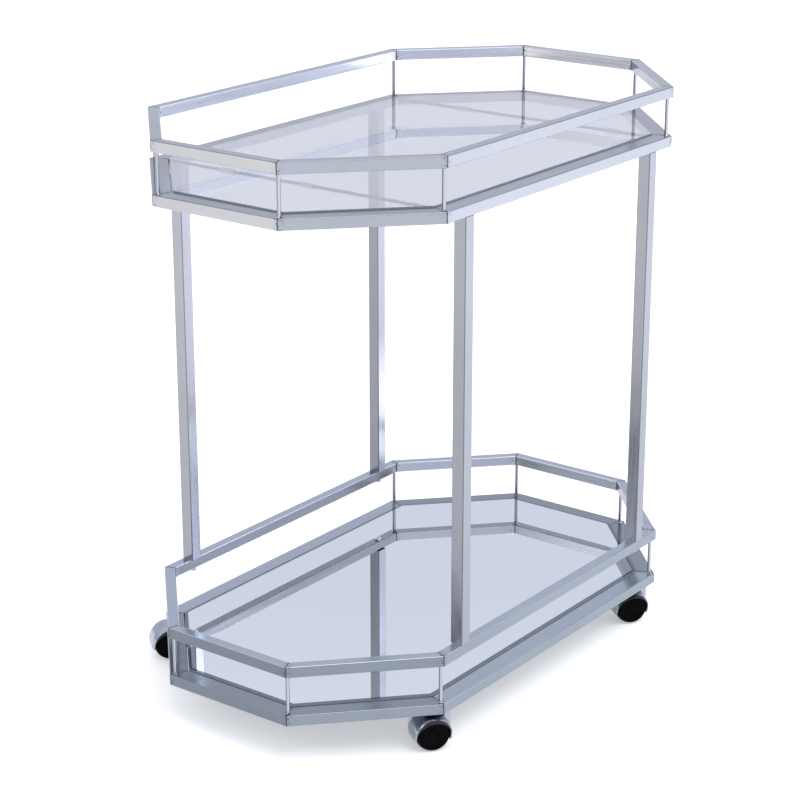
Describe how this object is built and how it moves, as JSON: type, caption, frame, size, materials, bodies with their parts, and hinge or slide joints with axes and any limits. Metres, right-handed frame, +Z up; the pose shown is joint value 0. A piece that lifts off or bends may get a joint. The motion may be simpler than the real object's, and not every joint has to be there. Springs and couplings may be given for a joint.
{
  "type": "bar cart",
  "caption": "Two-tier chrome bar cart with eight-sided trays, a clear glass upper shelf, a mirror lower shelf, low gallery rails, square posts and hooded swivel casters.",
  "frame": {"origin": "on the floor, under the middle of the trays", "axes": "+X along the cart's length, front towards -Y, +Z up"},
  "size_m": [0.82, 0.5145, 0.786],
  "materials": {
    "chrome_tube": "polished chrome plate on steel tube, cool and slightly soft, mitred corners polished flush",
    "chrome_rod": "bright chrome plate on round steel rod",
    "clear_glass": "clear tempered glass with polished edges",
    "mirror_panel": "silvered mirror glass",
    "sleeve_plastic": "soft translucent vinyl",
    "plain_steel": "plain steel",
    "plug_plastic": "moulded black nylon",
    "zinc_hardware": "bright zinc-plated steel",
    "caster_chrome": "chrome-plated die casting, satin inside",
    "wheel_black": "black nylon, moulded, slightly glossy"
  },
  "bodies": {
    "cart_frame": {"upper_ring": "chrome_tube", "upper_gallery_rail": "chrome_tube", "upper_gallery_posts": "chrome_rod", "upper_glass_shelf": "clear_glass", "upper_left_cross_rod": "chrome_rod", "upper_right_cross_rod": "chrome_rod", "upper_rod_sleeves": "sleeve_plastic", "upper_ring_weld_nuts": "plain_steel", "lower_ring": "chrome_tube", "lower_gallery_rail": "chrome_tube", "lower_gallery_posts": "chrome_rod", "lower_mirror_shelf": "mirror_panel", "lower_left_cross_rod": "chrome_rod", "lower_right_cross_rod": "chrome_rod", "lower_rod_sleeves": "sleeve_plastic", "caster_weld_nuts": "plain_steel", "front_left_leg": "chrome_tube", "front_right_leg": "chrome_tube", "back_left_leg": "chrome_tube", "back_right_leg": "chrome_tube", "leg_top_plugs": "plug_plastic", "leg_bottom_plugs": "plug_plastic", "leg_top_studs": "zinc_hardware", "leg_bottom_screws": "zinc_hardware", "front_left_caster_stem": "zinc_hardware", "front_right_caster_stem": "zinc_hardware", "back_left_caster_stem": "zinc_hardware", "back_right_caster_stem": "zinc_hardware"},
    "front_left_caster": {"front_left_caster_hood": "caster_chrome", "front_left_caster_axle": "zinc_hardware"},
    "front_left_left_wheel": {"front_left_caster_left_wheel": "wheel_black"},
    "front_left_right_wheel": {"front_left_caster_right_wheel": "wheel_black"},
    "front_right_caster": {"front_right_caster_hood": "caster_chrome", "front_right_caster_axle": "zinc_hardware"},
    "front_right_left_wheel": {"front_right_caster_left_wheel": "wheel_black"},
    "front_right_right_wheel": {"front_right_caster_right_wheel": "wheel_black"},
    "back_left_caster": {"back_left_caster_hood": "caster_chrome", "back_left_caster_axle": "zinc_hardware"},
    "back_left_left_wheel": {"back_left_caster_left_wheel": "wheel_black"},
    "back_left_right_wheel": {"back_left_caster_right_wheel": "wheel_black"},
    "back_right_caster": {"back_right_caster_hood": "caster_chrome", "back_right_caster_axle": "zinc_hardware"},
    "back_right_left_wheel": {"back_right_caster_left_wheel": "wheel_black"},
    "back_right_right_wheel": {"back_right_caster_right_wheel": "wheel_black"}
  },
  "joints": [
    {"name": "front_left_swivel", "type": "hinge", "parent": "cart_frame", "child": "front_left_caster", "pos_m": [-0.246, -0.228, 0.04], "axis": [0, 0, 1], "continuous": true},
    {"name": "front_left_left_wheel_roll", "type": "hinge", "parent": "front_left_caster", "child": "front_left_left_wheel", "pos_m": [-0.26097, -0.21713, 0.0233], "axis": [0.5878, 0.809, 0], "continuous": true},
    {"name": "front_left_right_wheel_roll", "type": "hinge", "parent": "front_left_caster", "child": "front_left_right_wheel", "pos_m": [-0.26097, -0.21713, 0.0233], "axis": [0.5878, 0.809, 0], "continuous": true},
    {"name": "front_right_swivel", "type": "hinge", "parent": "cart_frame", "child": "front_right_caster", "pos_m": [0.246, -0.228, 0.04], "axis": [0, 0, 1], "continuous": true},
    {"name": "front_right_left_wheel_roll", "type": "hinge", "parent": "front_right_caster", "child": "front_right_left_wheel", "pos_m": [0.23103, -0.21713, 0.0233], "axis": [0.5878, 0.809, 0], "continuous": true},
    {"name": "front_right_right_wheel_roll", "type": "hinge", "parent": "front_right_caster", "child": "front_right_right_wheel", "pos_m": [0.23103, -0.21713, 0.0233], "axis": [0.5878, 0.809, 0], "continuous": true},
    {"name": "back_left_swivel", "type": "hinge", "parent": "cart_frame", "child": "back_left_caster", "pos_m": [-0.246, 0.228, 0.04], "axis": [0, 0, 1], "continuous": true},
    {"name": "back_left_left_wheel_roll", "type": "hinge", "parent": "back_left_caster", "child": "back_left_left_wheel", "pos_m": [-0.26097, 0.23887, 0.0233], "axis": [0.5878, 0.809, 0], "continuous": true},
    {"name": "back_left_right_wheel_roll", "type": "hinge", "parent": "back_left_caster", "child": "back_left_right_wheel", "pos_m": [-0.26097, 0.23887, 0.0233], "axis": [0.5878, 0.809, 0], "continuous": true},
    {"name": "back_right_swivel", "type": "hinge", "parent": "cart_frame", "child": "back_right_caster", "pos_m": [0.246, 0.228, 0.04], "axis": [0, 0, 1], "continuous": true},
    {"name": "back_right_left_wheel_roll", "type": "hinge", "parent": "back_right_caster", "child": "back_right_left_wheel", "pos_m": [0.23103, 0.23887, 0.0233], "axis": [0.5878, 0.809, 0], "continuous": true},
    {"name": "back_right_right_wheel_roll", "type": "hinge", "parent": "back_right_caster", "child": "back_right_right_wheel", "pos_m": [0.23103, 0.23887, 0.0233], "axis": [0.5878, 0.809, 0], "continuous": true}
  ]
}
